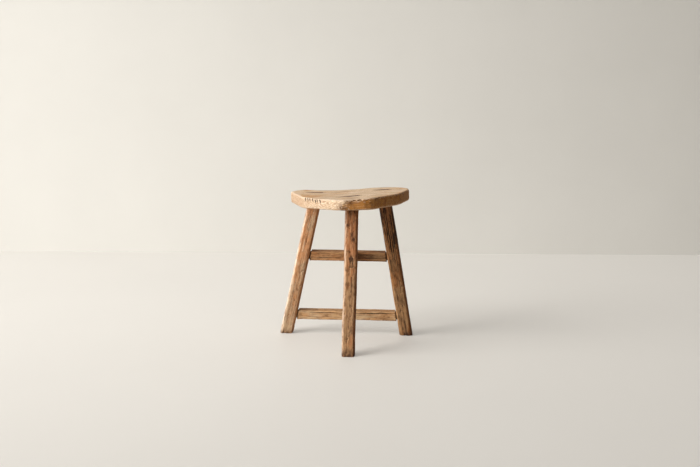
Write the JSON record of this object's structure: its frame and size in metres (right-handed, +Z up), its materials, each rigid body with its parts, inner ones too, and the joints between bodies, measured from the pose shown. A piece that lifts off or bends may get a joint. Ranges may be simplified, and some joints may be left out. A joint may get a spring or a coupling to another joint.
{
  "type": "milking stool",
  "caption": "Low wooden milking stool: thick rounded-triangle seat on splayed chamfered legs, through-tenoned and wedged, with stretchers between the legs.",
  "frame": {"origin": "on the floor, under the middle of the stool's bounding box", "axes": "+Z up, +X to the right of someone facing the single front leg, +Y towards the two back legs"},
  "size_m": [0.421, 0.3089, 0.4688],
  "materials": {
    "seat_wood": "worn, bleached, dry and unfinished",
    "leg_wood": "weathered, open-grained and unfinished",
    "stretcher_wood": "weathered, open-grained and unfinished",
    "wedge_wood": "dark end grain"
  },
  "bodies": {
    "root": {"seat": "seat_wood", "front_leg": "leg_wood", "left_leg": "leg_wood", "right_leg": "leg_wood", "upper_stretcher": "stretcher_wood", "lower_stretcher": "stretcher_wood", "centre_stretcher": "stretcher_wood", "front_leg_wedge": "wedge_wood", "left_leg_wedge": "wedge_wood", "right_leg_wedge": "wedge_wood", "upper_left_wedge": "wedge_wood", "upper_right_wedge": "wedge_wood", "lower_left_wedge": "wedge_wood", "lower_right_wedge": "wedge_wood", "centre_front_wedge": "wedge_wood", "centre_back_wedge": "wedge_wood"}
  },
  "joints": []
}
